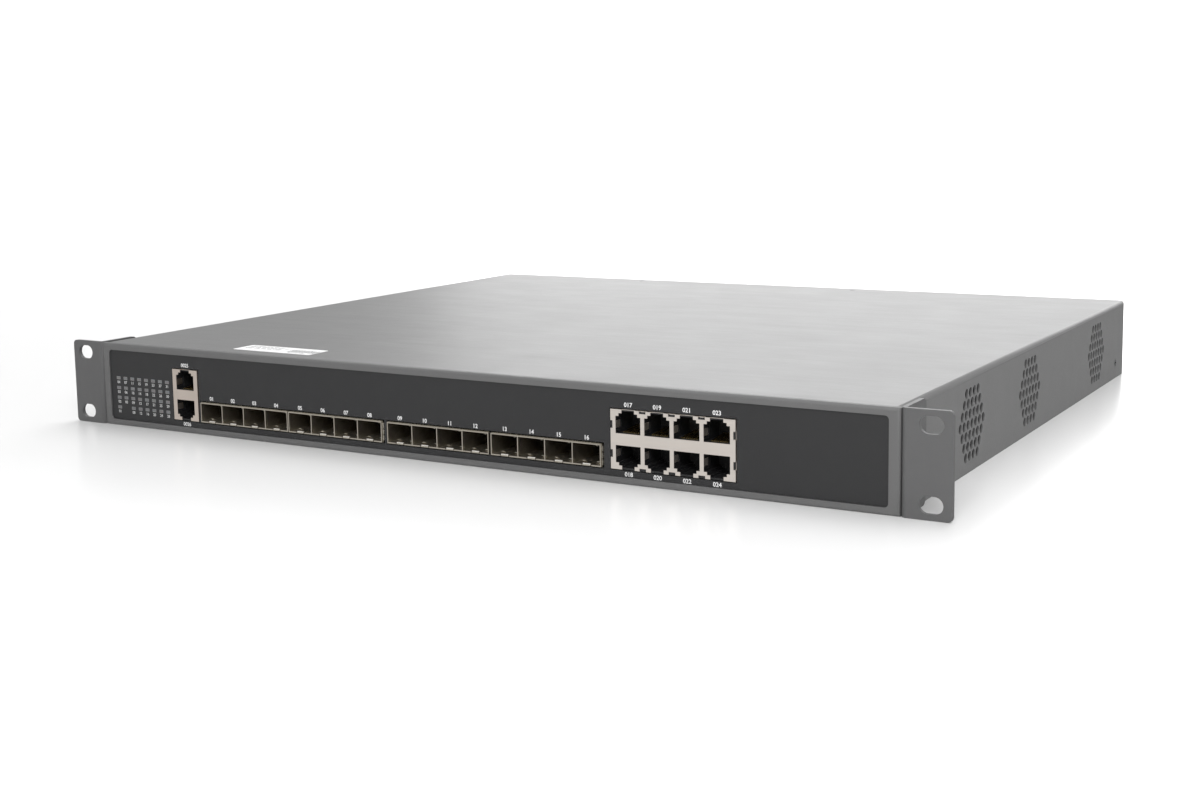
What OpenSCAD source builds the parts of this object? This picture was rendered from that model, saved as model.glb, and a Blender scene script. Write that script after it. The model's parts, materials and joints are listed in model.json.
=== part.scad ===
// Rackmount network switch, one rack unit high.
// Millimetres, +Z up, the port side faces -Y. The origin is at the centre of the footprint, on the table.
// Inside the modules, y is measured backwards from the front plane of the case.

/* [Case] */
// Width of the case between the rack ears
body_w = 440; // [438:1:444]
// Height of the case
body_h = 43.6; // [43.4:0.1:43.8]
// Depth of the case, front plane to rear face
body_d = 390; // [390:1:420]
// Sheet thickness of the tray
tray_t = 1.2; // [1:0.1:1.2]
// Sheet thickness of the cover
cover_t = 1; // [0.9:0.1:1.1]
// Outer radius of the cover's bends
cover_bend_r = 2.4; // [2:0.1:3]

/* [Rack ears] */
// Overall width across both ears
ear_span = 482.6; // [482:0.1:483]
// Height of an ear
ear_h = 44; // [43.8:0.1:44.2]
// Sheet thickness of an ear
ear_t = 2; // [1.8:0.1:2.2]
// Length of the ear's flange along the case side
ear_depth = 25; // [24:1:50]
// Distance between the slots of the two ears
rack_pitch_x = 465.1; // [464:0.1:466]
// Height between the two slots of one ear
rack_pitch_z = 31.75; // [31:0.05:32]
// Slot length
slot_l = 10; // [9:0.1:11]
// Slot width
slot_w = 7.2; // [6.5:0.1:7.4]

/* [Front] */
// Depth of the bezel frame
bezel_d = 3; // [3:0.1:3.2]
// Width of the bezel frame around the overlay
bezel_frame_w = 4.7; // [4.2:0.1:5]
// Depth at which the overlay lies behind the front plane
overlay_y = 0.7; // [0.5:0.1:0.9]

/* [Vents and fans] */
// Diameter of one vent hole
vent_d = 4.5; // [4:0.1:4.6]
// Distance between neighbouring vent holes
vent_pitch = 5.5; // [5.4:0.1:5.6]
// Width and height of a fan
fan_size = 40; // [40:0.1:40.5]
// Depth of a fan
fan_d = 20; // [19:0.5:20]
// Blades on each rotor
fan_blades = 7; // [5:1:9]

/* [Supplies] */
// Depth of a removable supply inside the case
supply_d = 149; // [145:1:149]
// How far a handle stands out of its faceplate
handle_out = 22; // [18:1:26]

/* [Hidden] */

$fn = 48;
eps = 0.01;
past = 1;                       // how far a cutter runs past the face it cuts
overall_d = body_d + 0.3 + handle_out;
front_y = -overall_d / 2;

// Colours
paint_grey = [0.44, 0.44, 0.44];
plate_grey = [0.62, 0.63, 0.64];
overlay_dark = [0.15, 0.15, 0.16];
shield_cream = [0.86, 0.81, 0.76];
shield_tan = [0.74, 0.68, 0.62];
cage_tan = [0.62, 0.60, 0.54];
steel_bright = [0.76, 0.77, 0.78];
plastic_black = [0.07, 0.07, 0.08];
board_green = [0.05, 0.28, 0.14];
chip_black = [0.10, 0.10, 0.11];
gold = [0.83, 0.66, 0.27];

// Case and tray
side_x = body_w / 2;
tray_x = side_x - cover_t;
cover_y0 = bezel_d + 0.2;
tray_y0 = bezel_d;
tray_y1 = body_d - cover_t;
tray_wall_h = 41;
front_wall_h = body_h - cover_t - 0.2;
rear_flange = 14;
rear_corner_r = 3;
rear_lip = 10;
corner_relief = 2.1;
seam = 0.05;                    // gap at a spot-welded edge
inside_top = body_h - cover_t;

// Screws
m3_r = 1.5;
m3_hole_r = 1.55;
csk_r = 2.9;
csk_d = 1;
case_screw_l = 4.2;
ground_x = 192;
ground_z = 14;
ground_r = 2;
pan_screw_l = 4.5;

// Vents and fans
fan_z = 1.5 + fan_size / 2;
fan_ys = [0.2369 * body_d, 0.475 * body_d, 0.8218 * body_d];
fan_x1 = tray_x - tray_t - 0.2;
fan_x0 = fan_x1 - fan_d;
fan_hole = 16;
fan_bore_r = 18.8;
bracket_t = 1;
bracket_h = 39;

// Board
board_z = 5;
board_t = 1.6;
board_top = board_z + board_t;
board_x0 = -212;
board_x1 = 180;
board_y0 = 11;
board_y1 = 218;
hole_xs = [board_x0 + 6, -84, 0, 110, board_x1 - 6];
hole_ys = [60, 130, board_y1 - 8];

// SFP cages
cage_xs = [-151.2, -93, -32.1, 26.8];
port_w = 13.8;
port_h = 9.1;
cage_wall = 0.5;
port_pitch = port_w + cage_wall;
cage_w = 4 * port_pitch + cage_wall;
cage_h = port_h + 1.05;
cage_z = board_top;
cage_y = 0.2;
cage_d = 48.7;
latch_w = 4;
connector_y = cage_y + cage_d - 13;

// Stacked jacks
jack_mid_z = 19.8;
jack_gap = 5.2;
jack_h = 7.6;
jack_step = 1.3;
jack_notch_w = 9.2;
jack_latch_w = 6.2;
jack_depth = 14.5;
jack_y = 0.3;
shield_t = 0.3;
housing_gap = 0.05;
shield_z1 = 32.9;
rj45_x = 89.5;
rj45_w = 59.5;
rj45_d = 36;
rj45_pitch = 14.1;
rj45_cavity = 12.2;
console_x = -170;
console_w = 17;
console_d = 30;
console_cavity = 11.9;

// Status windows
led_x = -209.6;
led_pitch = 5;
led_zs = [25.4, 20.2, 15, 9.8];
window_w = 2.6;
window_h = 1.4;

// Supplies
supply_xs = [-162, -75];
face_w = 85;
face_h = 38;
face_t = 1.2;
face_z = 2.5;
face_y = body_d - 0.9;
case_left = 41;
case_w = 73.5;
case_z = 3;
case_h = 36;
case_t = 0.8;
case_y = face_y - supply_d;
mid_z = case_z + case_h / 2;
inlet_left = 17;
inlet_w = 48;
inlet_h = 28;
inlet_y = face_y + face_t;
inlet_lip = 2;
rocker_dx = 22;
rocker_r = 10.5;
rocker_cavity_r = 10.9;
rocker_cavity_w = 10.4;
rocker_w = 9.8;
rocker_tilt = 10;
rocker_y = inlet_y + inlet_lip - 6.3;
handle_dx = -35.5;
handle_r = 2;
handle_half = 12.5;
thumb_dx = 37.5;
thumb_r = 4;
bay_y0 = 228;
bay_y1 = 376;
bay_x0 = -208.5;
bay_x1 = -36.5;
bay_t = 1;
backplane_y = 230;
backplane_t = 1.6;

module placed() {
    translate([0, front_y, 0]) children();
}

// A bar along x, y or z starts at its low end
module bar_x(length, r) {
    rotate([0, 90, 0]) cylinder(h = length, r = r);
}

module bar_y(length, r) {
    rotate([-90, 0, 0]) cylinder(h = length, r = r);
}

// Quarter bend of a wire in the xy plane around the origin, from angle start to start + 90
module wire_bend(start, bend, r) {
    rotate([0, 0, start]) rotate_extrude(angle = 90) translate([bend, 0]) circle(r = r, $fn = 24);
}

module rounded_square(w, h, r) {
    translate([-w / 2, -h / 2 + r]) square([w, h - 2 * r]);
    translate([-w / 2 + r, -h / 2]) square([w - 2 * r, h]);
    for (sx = [-1, 1], sz = [-1, 1]) {
        translate([sx * (w / 2 - r), sz * (h / 2 - r)]) circle(r = r);
    }
}

module slot_y(length, width, depth) {
    flat = length - width;
    translate([-flat / 2, 0, -width / 2]) cube([flat, depth, width]);
    for (s = [-1, 1]) {
        translate([s * flat / 2, 0, 0]) bar_y(depth, width / 2);
    }
}

// Countersunk screw, head face at z = 0, shaft towards -z
module csk_screw(length) {
    difference() {
        union() {
            translate([0, 0, -csk_d]) cylinder(h = csk_d, r1 = m3_r, r2 = csk_r);
            translate([0, 0, -length]) cylinder(h = length - csk_d + eps, r = m3_r);
        }
        cross_recess(1.9, 0.6);
    }
}

module csk_hole(depth) {
    translate([0, 0, -csk_d]) cylinder(h = csk_d + eps, r1 = m3_hole_r, r2 = csk_r + 0.05);
    translate([0, 0, -depth]) cylinder(h = depth, r = m3_hole_r);
}

// Pan head screw, seat at z = 0, shaft towards -z
module pan_screw(length) {
    head_h = 1.7;
    difference() {
        union() {
            cylinder(h = head_h - 0.5, r = 2.8);
            translate([0, 0, head_h - 0.5]) cylinder(h = 0.5, r1 = 2.8, r2 = 2.2);
            translate([0, 0, -length]) cylinder(h = length + eps, r = m3_r);
        }
        translate([0, 0, head_h]) cross_recess(1.7, 0.9);
    }
}

module cross_recess(reach, depth) {
    width = 0.75;
    translate([-reach, -width / 2, -depth]) cube([2 * reach, width, depth + past]);
    translate([-width / 2, -reach, -depth]) cube([width, 2 * reach, depth + past]);
}

// Hexagonal cluster of 37 vent holes as cutters along x
module vent_cutters_x(x, length) {
    row_step = vent_pitch * sqrt(3) / 2;
    for (row = [-3 : 3]) {
        count = 7 - abs(row);
        for (i = [0 : count - 1]) {
            translate([x, (i - (count - 1) / 2) * vent_pitch, row * row_step])
                bar_x(length, vent_d / 2);
        }
    }
}

// Openings through the bezel, the overlay and the tray's front wall
module port_cutters(y, depth) {
    gap = 0.5;
    translate([console_x - gap, y, 6.1]) cube([console_w + 2 * gap, depth, 27.3]);
    translate([rj45_x - gap, y, 6.1]) cube([rj45_w + 2 * gap, depth, 27.3]);
    for (pair = [0, 1]) {
        x0 = cage_xs[2 * pair] - 0.7;
        x1 = cage_xs[2 * pair + 1] + cage_w + 1.4;
        translate([x0, y, 5.9]) cube([x1 - x0, depth, 11.7]);
    }
}

function window_kept(col, row) = !(row == 3 && col == 1);

module at_windows() {
    for (row = [0 : 3], col = [0 : 7]) {
        if (window_kept(col, row)) {
            translate([led_x + col * led_pitch, 0, led_zs[row]]) children();
        }
    }
}

module window_field(y, depth) {
    translate([led_x - 2, y, led_zs[3] - 1.5]) cube([7 * led_pitch + 4, depth, 18.6]);
}

// Places of the three screws that hold an ear to the case side
ear_screw_spots = [[10, 8], [10, 36], [19, 22]];

module at_ear_screws() {
    for (s = [-1, 1], spot = ear_screw_spots) {
        translate([s * (side_x + ear_t), spot[0], spot[1]]) rotate([0, s * 90, 0]) children();
    }
}

side_screw_y = body_d - 21.5;
side_screw_z = 9;

module at_side_screws() {
    for (s = [-1, 1]) {
        translate([s * side_x, side_screw_y, side_screw_z]) rotate([0, s * 90, 0]) children();
    }
}

module at_top_screws() {
    for (x = [-103, 51.5]) {
        translate([x, body_d - 8, body_h]) children();
    }
}

module at_board_holes() {
    for (x = hole_xs, y = hole_ys) {
        translate([x, y, 0]) children();
    }
}

// Floor, two sides and rear of the tray: four sheets, spot-welded along their edges
module tray_sheets() {
    wall_z = tray_t + seam;
    wall_y = tray_y0 + tray_t + seam;
    translate([-tray_x, tray_y0, 0]) cube([2 * tray_x, tray_y1 - tray_y0, tray_t]);
    for (x = [-tray_x, tray_x - tray_t]) {
        translate([x, wall_y, wall_z])
            cube([tray_t, tray_y1 - corner_relief - wall_y, tray_wall_h - wall_z]);
    }
    translate([-tray_x + corner_relief, tray_y1 - tray_t, wall_z])
        cube([2 * (tray_x - corner_relief), tray_t, inside_top - wall_z]);
    translate([-tray_x + 20, tray_y1 - rear_flange, inside_top - tray_t])
        cube([2 * tray_x - 40, rear_flange, tray_t]);
}

module chassis_base() {
    rear_vent_xs = [70, 130];
    rear_vent_z = 20;
    color(plate_grey) placed() difference() {
        tray_sheets();
        for (s = [-1, 1]) {
            translate([s * tray_x, tray_y1, 0])
                cube([2 * corner_relief, 2 * corner_relief, 3 * tray_t], center = true);
        }
        for (y = fan_ys, x = [-tray_x - past, tray_x - tray_t - past]) {
            translate([x, y - 20, 3.6]) cube([tray_t + 2 * past, 40, 35.8]);
        }
        translate([0, tray_y1 - tray_t - past, 0]) {
            for (x = supply_xs) {
                translate([x - case_left - 0.6, 0, case_z - 0.6])
                    cube([case_w + 1.2, tray_t + 2 * past, case_h + 1.2]);
                translate([x + thumb_dx, 0, mid_z]) bar_y(tray_t + 2 * past, m3_r + 0.06);
            }
            for (x = rear_vent_xs, row = [-2 : 2], col = [-4 : 4]) {
                translate([x + col * vent_pitch, 0, rear_vent_z + row * vent_pitch])
                    bar_y(tray_t + 2 * past, vent_d / 2);
            }
            translate([ground_x, 0, ground_z]) bar_y(tray_t + 2 * past, ground_r + 0.05);
        }
        at_ear_screws() translate([0, 0, -8]) cylinder(h = 8, r = m3_hole_r);
        at_side_screws() translate([0, 0, -6]) cylinder(h = 6, r = m3_hole_r);
        at_top_screws() translate([0, 0, -6]) cylinder(h = 6, r = m3_hole_r);
    }
}

// Sheet behind the bezel, with the ports' cut-outs
module front_panel() {
    color(plate_grey) placed() difference() {
        translate([-tray_x, tray_y0, tray_t + seam])
            cube([2 * tray_x, tray_t, front_wall_h - tray_t - seam]);
        port_cutters(tray_y0 - past, tray_t + 2 * past);
        window_field(tray_y0 - past, tray_t + 2 * past);
    }
}

// Outline of the cover's outside, inset by t
module cover_solid(t, y0, z0) {
    w = body_w - 2 * t;
    bend = cover_bend_r - t;
    corner = rear_corner_r - t;
    intersection() {
        translate([0, 0, z0]) linear_extrude(body_h - t - z0) {
            translate([-w / 2, y0]) square([w, body_d - t - corner - y0]);
            translate([-w / 2 + corner, y0]) square([w - 2 * corner, body_d - t - y0]);
            for (s = [-1, 1]) {
                translate([s * (w / 2 - corner), body_d - t - corner]) circle(r = corner);
            }
        }
        translate([0, body_d + past, 0]) rotate([90, 0, 0]) linear_extrude(body_d + 2 * past - y0) {
            translate([-w / 2, z0]) square([w, body_h - t - bend - z0]);
            translate([-w / 2 + bend, z0]) square([w - 2 * bend, body_h - t - z0]);
            for (s = [-1, 1]) {
                translate([s * (w / 2 - bend), body_h - t - bend]) circle(r = bend);
            }
        }
    }
}

module top_cover() {
    color(paint_grey) placed() difference() {
        cover_solid(0, cover_y0, 0);
        cover_solid(cover_t, cover_y0 - past, -past);
        translate([-side_x + rear_lip, body_d - 8, -past])
            cube([body_w - 2 * rear_lip, 10, inside_top - 1.6 + past]);
        for (y = fan_ys) {
            translate([0, y, fan_z]) vent_cutters_x(-side_x - past, body_w + 2 * past);
        }
        at_ear_screws() translate([0, 0, -8]) cylinder(h = 8, r = m3_hole_r);
        at_side_screws() csk_hole(4);
        at_top_screws() csk_hole(4);
    }
}

// Block of the bezel's outline whose front edges are all rounded
module bezel_block() {
    edge_r = 1.4;
    intersection() {
        linear_extrude(body_h) {
            translate([-side_x, edge_r]) square([body_w, bezel_d - edge_r]);
            translate([-side_x + edge_r, 0]) square([body_w - 2 * edge_r, bezel_d]);
            for (s = [-1, 1]) {
                translate([s * (side_x - edge_r), edge_r]) circle(r = edge_r);
            }
        }
        translate([-side_x - past, 0, 0]) rotate([90, 0, 90]) linear_extrude(body_w + 2 * past) {
            translate([edge_r, 0]) square([bezel_d - edge_r, body_h]);
            translate([0, edge_r]) square([bezel_d, body_h - 2 * edge_r]);
            translate([edge_r, edge_r]) circle(r = edge_r);
            translate([edge_r, body_h - edge_r]) circle(r = edge_r);
        }
    }
}

overlay_w = body_w - 2 * bezel_frame_w;
overlay_z0 = 3.2;
overlay_z1 = body_h - 3.4;
overlay_t = 0.5;

module overlay_plate(y, t, inset) {
    translate([0, y + t, (overlay_z0 + overlay_z1) / 2]) rotate([90, 0, 0]) linear_extrude(t)
        rounded_square(overlay_w - 2 * inset, overlay_z1 - overlay_z0 - 2 * inset, 1.8);
}

module front_bezel() {
    color(paint_grey) placed() difference() {
        bezel_block();
        overlay_plate(-past, past + overlay_y + overlay_t, 0);
        port_cutters(-past, bezel_d + 2 * past);
        window_field(-past, bezel_d + 2 * past);
    }
}

module front_overlay() {
    color(overlay_dark) placed() difference() {
        overlay_plate(overlay_y, overlay_t, 0.1);
        port_cutters(0, 4);
        at_windows() translate([-window_w / 2, 0, -window_h / 2]) cube([window_w, 3, window_h]);
    }
}

module light_pipes() {
    rod_w = window_w - 0.2;
    rod_h = window_h - 0.2;
    carrier_y = 5;
    color("whitesmoke") placed() {
        translate([led_x - 3, carrier_y, led_zs[3] - 2]) cube([7 * led_pitch + 6, 1.6, 19.6]);
        at_windows() translate([-rod_w / 2, overlay_y, -rod_h / 2])
            cube([rod_w, carrier_y - overlay_y, rod_h]);
    }
}

// Right-hand ear: plate towards +x, flange backwards along the case side
module ear_shape() {
    reach = ear_span / 2 - side_x;
    bend = ear_t + 0.6;
    front_corner = 2.2;
    difference() {
        intersection() {
            linear_extrude(ear_h) {
                translate([0, bend]) square([ear_t, ear_depth - bend]);
                translate([bend, 0]) square([reach - bend, ear_t]);
                intersection() {
                    square([bend, bend]);
                    difference() {
                        translate([bend, bend]) circle(r = bend);
                        translate([bend, bend]) circle(r = bend - ear_t);
                    }
                }
            }
            translate([reach - 60, ear_depth + past, ear_h / 2]) rotate([90, 0, 0])
                linear_extrude(ear_depth + 2 * past) rounded_square(120, ear_h, front_corner);
            translate([-past, ear_depth - 60, ear_h / 2]) rotate([90, 0, 90])
                linear_extrude(reach + 2 * past) rounded_square(120, ear_h, 3);
        }
        for (s = [-1, 1]) {
            translate([rack_pitch_x / 2 - side_x, -past, ear_h / 2 + s * rack_pitch_z / 2])
                slot_y(slot_l, slot_w, ear_t + 2 * past);
        }
        for (spot = ear_screw_spots) {
            translate([ear_t, spot[0], spot[1]]) rotate([0, 90, 0]) csk_hole(ear_t + past);
        }
    }
}

module ear_right() {
    color(paint_grey) placed() translate([side_x, 0, 0]) ear_shape();
}

module ear_left() {
    color(paint_grey) placed() mirror([1, 0, 0]) translate([side_x, 0, 0]) ear_shape();
}

module case_screws() {
    color(steel_bright) placed() {
        at_ear_screws() csk_screw(case_screw_l);
        at_side_screws() csk_screw(case_screw_l);
        at_top_screws() csk_screw(case_screw_l);
    }
}

module top_label() {
    spot = [-112.8, 18.9];
    size = [50, 15.5];
    thickness = 0.15;
    color("white") placed() translate([spot[0], spot[1], body_h])
        linear_extrude(thickness) rounded_square(size[0], size[1], 1);
}

module main_board() {
    color(board_green) placed() difference() {
        translate([board_x0, board_y0, board_z]) cube([board_x1 - board_x0, board_y1 - board_y0, board_t]);
        at_board_holes() translate([0, 0, board_z - past]) cylinder(h = board_t + 2 * past, r = m3_hole_r);
    }
}

module standoffs() {
    color(gold) placed() at_board_holes() difference() {
        translate([0, 0, tray_t]) cylinder(h = board_z - tray_t, r = 3, $fn = 6);
        translate([0, 0, tray_t + 0.8]) cylinder(h = board_z, r = m3_hole_r);
    }
}

// Screws that hold the board to its standoffs and the fans to their bracket
module pan_screws() {
    color(steel_bright) placed() {
        at_board_holes() translate([0, 0, board_top]) pan_screw(pan_screw_l);
        for (y = fan_ys, sy = [-1, 1], sz = [-1, 1]) {
            translate([fan_x0 - bracket_t, y + sy * fan_hole, fan_z + sz * fan_hole]) rotate([0, -90, 0])
                pan_screw(pan_screw_l);
        }
    }
}

// Turned-up lip at the front of a cage's latch tab
module latch_lip() {
    rise = 0.5;
    rotate([90, 0, 90]) linear_extrude(latch_w)
        polygon([[0, -eps], [1, -eps], [1, rise], [0.4, rise], [0, 0.05]]);
}

module sfp_cage(index) {
    x0 = cage_xs[index];
    open_d = 13;
    slit = 0.5;
    tab_d = 9;
    color(cage_tan) placed() {
        difference() {
            translate([x0, cage_y, cage_z]) cube([cage_w, cage_d, cage_h]);
            for (p = [0 : 3]) {
                px = x0 + cage_wall + p * port_pitch;
                translate([px, cage_y - past, cage_z + 0.55]) cube([port_w, cage_d - 0.5 + past, port_h]);
                translate([px + 0.6, connector_y - 1, cage_z - past]) cube([port_w - 1.2, open_d, 2]);
                for (s = [-1, 1]) {
                    slit_x = px + (port_w - slit + s * (latch_w + slit)) / 2;
                    translate([slit_x, cage_y - past, cage_z - past]) cube([slit, tab_d + past, 2]);
                }
                for (hole = [0 : 2]) {
                    translate([px + port_w / 2, 14 + 9 * hole, cage_z + 5]) cylinder(h = 8, r = 1);
                }
            }
        }
        for (p = [0 : 3]) {
            tab_x = x0 + cage_wall + p * port_pitch + (port_w - latch_w) / 2;
            translate([tab_x, cage_y, cage_z + 0.5]) latch_lip();
        }
    }
}

module sfp_cage_1() { sfp_cage(0); }
module sfp_cage_2() { sfp_cage(1); }
module sfp_cage_3() { sfp_cage(2); }
module sfp_cage_4() { sfp_cage(3); }

// Bowed spring finger: base line along +y, bow towards +z, thickness in z
module spring_finger(width, rise) {
    sheet = 0.15;
    rotate([90, 0, 90]) translate([0, 0, -width / 2]) linear_extrude(width)
        polygon([
            [0, 0], [1.2, rise], [3.2, rise], [5, 0], [4.6, 0],
            [3.1, rise - sheet], [1.3, rise - sheet], [0.4, 0]
        ]);
}

// Spring strips on top of and below each cage, and on the outer side of each pair
module cage_springs() {
    band = 0.15;
    color(steel_bright) placed() for (i = [0 : 3]) {
        x0 = cage_xs[i];
        side = i % 2;
        side_pos = side == 1 ? x0 + cage_w : x0;
        bow = side == 1 ? 1 : 0.45;
        turn = side == 1 ? 1 : -1;
        translate([x0, 1, cage_z + cage_h]) cube([cage_w, 6, band]);
        translate([x0, 1, cage_z - band]) cube([cage_w, 6, band]);
        translate([side == 1 ? side_pos : side_pos - band, 1, cage_z]) cube([band, 6, cage_h]);
        for (f = [0 : 15]) {
            fx = x0 + 2.6 + f * 3.5;
            translate([fx, 1, cage_z + cage_h + band]) spring_finger(2.6, 0.5);
            translate([fx, 1, cage_z - band]) mirror([0, 0, 1]) spring_finger(2.6, 0.5);
        }
        for (f = [0 : 2]) {
            translate([side_pos + turn * band, 1, cage_z + 2.1 + f * 3]) rotate([0, turn * 90, 0])
                spring_finger(2.4, bow);
        }
    }
}

module at_sfp_ports() {
    for (x0 = cage_xs, p = [0 : 3]) {
        translate([x0 + cage_wall + p * port_pitch + port_w / 2, 0, 0]) children();
    }
}

module sfp_connectors() {
    w = 11;
    d = 9;
    color(plastic_black) placed() at_sfp_ports() difference() {
        translate([-w / 2, connector_y, board_top]) cube([w, d, 5.4]);
        translate([-w / 2 + 0.8, connector_y - past, board_top + 2.3]) cube([w - 1.6, 4 + past, 1.4]);
        translate([-w / 2 - past, connector_y - past, board_top + 4.2]) cube([w + 2 * past, 2.5 + past, 2]);
    }
}

// Outline of one jack opening above the middle line, latch side up
module jack_outline(w, notch_h) {
    shoulder = jack_gap / 2 + jack_h;
    translate([-w / 2, jack_gap / 2]) square([w, jack_h]);
    translate([-jack_notch_w / 2, shoulder - 0.1]) square([jack_notch_w, jack_step + 0.1]);
    translate([-jack_latch_w / 2, shoulder - 0.1]) square([jack_latch_w, notch_h]);
}

// Jack-shaped cutter along +y for both jacks of one column
module jack_cutters(w, y, depth, notch_h) {
    translate([0, y + depth, jack_mid_z]) rotate([90, 0, 0]) linear_extrude(depth) {
        jack_outline(w, notch_h);
        mirror([0, 1]) jack_outline(w, notch_h);
    }
}

function column_x(x0, w, columns, pitch, i) = x0 + w / 2 + (i - (columns - 1) / 2) * pitch;

// Shield of 0.3 mm sheet around a block of jacks. Its latch notches run out through the top and
// bottom edges, and it has windows for the ground fingers between columns and at the sides.
module jack_shield(x0, w, d, columns, pitch, cavity) {
    z0 = board_top;
    face_d = 1.3;
    finger_h = 3.2;
    top_window = [3.2, 1.2];
    side_window = [1, 3.4];
    tab_w = 1.6;
    difference() {
        translate([x0, jack_y, z0]) cube([w, d, shield_z1 - z0]);
        translate([x0 + shield_t, jack_y + shield_t, z0 - past])
            cube([w - 2 * shield_t, d - 2 * shield_t, shield_z1 - z0 - shield_t + past]);
        for (i = [0 : columns - 1]) {
            translate([column_x(x0, w, columns, pitch, i), 0, 0])
                jack_cutters(cavity, jack_y - past, face_d + past - jack_y, jack_step + 3);
        }
        for (i = [0 : 1 : columns - 2], z = [z0, shield_z1]) {
            translate([column_x(x0, w, columns, pitch, i + 0.5), jack_y, z])
                cube([top_window[0], 2 * (face_d - jack_y), 2 * top_window[1]], center = true);
        }
        if (columns > 1) {
            for (x = [x0, x0 + w], t = [-1, 1]) {
                translate([x, jack_y, jack_mid_z + t * (jack_gap + jack_h) / 2])
                    cube([2 * side_window[0], 2 * (face_d - jack_y), side_window[1]], center = true);
            }
        }
    }
    for (i = [0 : 1 : columns - 2]) {
        tab_x = column_x(x0, w, columns, pitch, i + 0.5) - tab_w / 2;
        translate([tab_x, jack_y + shield_t, shield_z1 - shield_t]) cube([tab_w, face_d, shield_t]);
    }
    for (i = [0 : columns - 1], s = [-1, 1], t = [-1, 1]) {
        finger_x = column_x(x0, w, columns, pitch, i) + s * (cavity + shield_t) / 2 - shield_t / 2;
        finger_z = jack_mid_z + t * (jack_gap + jack_h) / 2 - finger_h / 2;
        translate([finger_x, jack_y + shield_t - eps, finger_z]) cube([shield_t, 4, finger_h]);
    }
}

// Front moulding of a block of jacks, open at the back, where the inserts close it
module jack_housing(x0, w, columns, pitch, cavity) {
    z0 = board_top;
    front = jack_y + shield_t + housing_gap;
    inset = shield_t + housing_gap;
    recess = 0.5;
    difference() {
        translate([x0 + inset, front, z0]) cube([w - 2 * inset, jack_depth, shield_z1 - z0 - inset]);
        for (i = [0 : columns - 1]) {
            translate([column_x(x0, w, columns, pitch, i), 0, 0]) {
                jack_cutters(cavity, front - past, jack_depth + 2 * past, jack_step + 1);
                for (t = [-1, 1]) {
                    recess_z = jack_mid_z + t * (jack_gap + jack_h) / 2 - 2;
                    translate([-cavity / 2 - recess, front - past, recess_z])
                        cube([cavity + 2 * recess, 5 + past, 4]);
                }
            }
        }
    }
}

// One insert behind each column of jacks: contact carriers and transformers, potted in a block
module jack_insert_row(x0, w, d, columns, pitch) {
    inset = shield_t + housing_gap;
    y0 = jack_y + shield_t + jack_depth + 2 * housing_gap;
    insert_w = min(pitch, w - 2 * inset) - 0.2;
    for (i = [0 : columns - 1]) {
        translate([column_x(x0, w, columns, pitch, i) - insert_w / 2, y0, board_top])
            cube([insert_w, jack_y + d - inset - y0, shield_z1 - inset - board_top]);
    }
}

module jack_inserts() {
    color(plastic_black) placed() {
        jack_insert_row(rj45_x, rj45_w, rj45_d, 4, rj45_pitch);
        jack_insert_row(console_x, console_w, console_d, 1, console_w);
    }
}

// Eight sloping contact wires in each jack, on the side away from the latch
module contact_rows(x0, w, columns, pitch) {
    wire = 0.4;
    contact_pitch = 1.02;
    start = 3;
    run = jack_depth + jack_y + shield_t + housing_gap - start;
    rise = 1.3;
    slope = atan2(rise, run);
    for (i = [0 : columns - 1], t = [0, 1], k = [-3.5 : 1 : 3.5]) {
        translate([column_x(x0, w, columns, pitch, i) + k * contact_pitch, start, jack_mid_z])
            mirror([0, 0, t]) translate([-wire / 2, 0, jack_gap / 2]) rotate([90, 0, 90])
                linear_extrude(wire) polygon([[0, 0], [run, rise], [run, rise + wire], [0, wire]]);
    }
}

module rj45_shield() {
    color(shield_cream) placed() jack_shield(rj45_x, rj45_w, rj45_d, 4, rj45_pitch, rj45_cavity);
}

module rj45_housing() {
    color(plastic_black) placed() jack_housing(rj45_x, rj45_w, 4, rj45_pitch, rj45_cavity);
}

module jack_contacts() {
    color(gold) placed() {
        contact_rows(rj45_x, rj45_w, 4, rj45_pitch);
        contact_rows(console_x, console_w, 1, rj45_pitch);
    }
}

module console_shield() {
    color(shield_tan) placed() jack_shield(console_x, console_w, console_d, 1, rj45_pitch, console_cavity);
}

module console_housing() {
    color(plastic_black) placed() jack_housing(console_x, console_w, 1, rj45_pitch, console_cavity);
}

led_board_y = 8.6;

module led_board() {
    color(board_green) placed() translate([led_x - 2.8, led_board_y, 6]) cube([7 * led_pitch + 6, 1.2, 22]);
}

module status_leds() {
    color("white") placed() at_windows()
        translate([-0.8, led_board_y - 0.8, -0.4]) cube([1.6, 0.8, 0.8]);
}

module chip(x, y, side, h) {
    translate([x - side / 2, y - side / 2, board_top]) cube([side, side, h]);
}

module heatsink(x, y, z, w, d, h, base_h, fins) {
    pitch = w / fins;
    slot_w = pitch * 0.62;
    translate([x - w / 2, y - d / 2, z]) difference() {
        cube([w, d, h]);
        for (i = [0 : fins - 2]) {
            translate([(i + 1) * w / fins - slot_w / 2, -past, base_h]) cube([slot_w, d + 2 * past, h]);
        }
    }
}

switch_spot = [40, 120];
switch_h = 3;
cpu_spot = [-110, 150];
cpu_h = 2.4;

module switch_chip() {
    color(chip_black) placed() chip(switch_spot[0], switch_spot[1], 35, switch_h);
}

module switch_heatsink() {
    color(plate_grey) placed()
        heatsink(switch_spot[0], switch_spot[1], board_top + switch_h, 62, 62, 22, 4, 16);
}

module cpu_chip() {
    color(chip_black) placed() chip(cpu_spot[0], cpu_spot[1], 23, cpu_h);
}

module cpu_heatsink() {
    color(plate_grey) placed() heatsink(cpu_spot[0], cpu_spot[1], board_top + cpu_h, 40, 40, 18, 3, 11);
}

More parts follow.
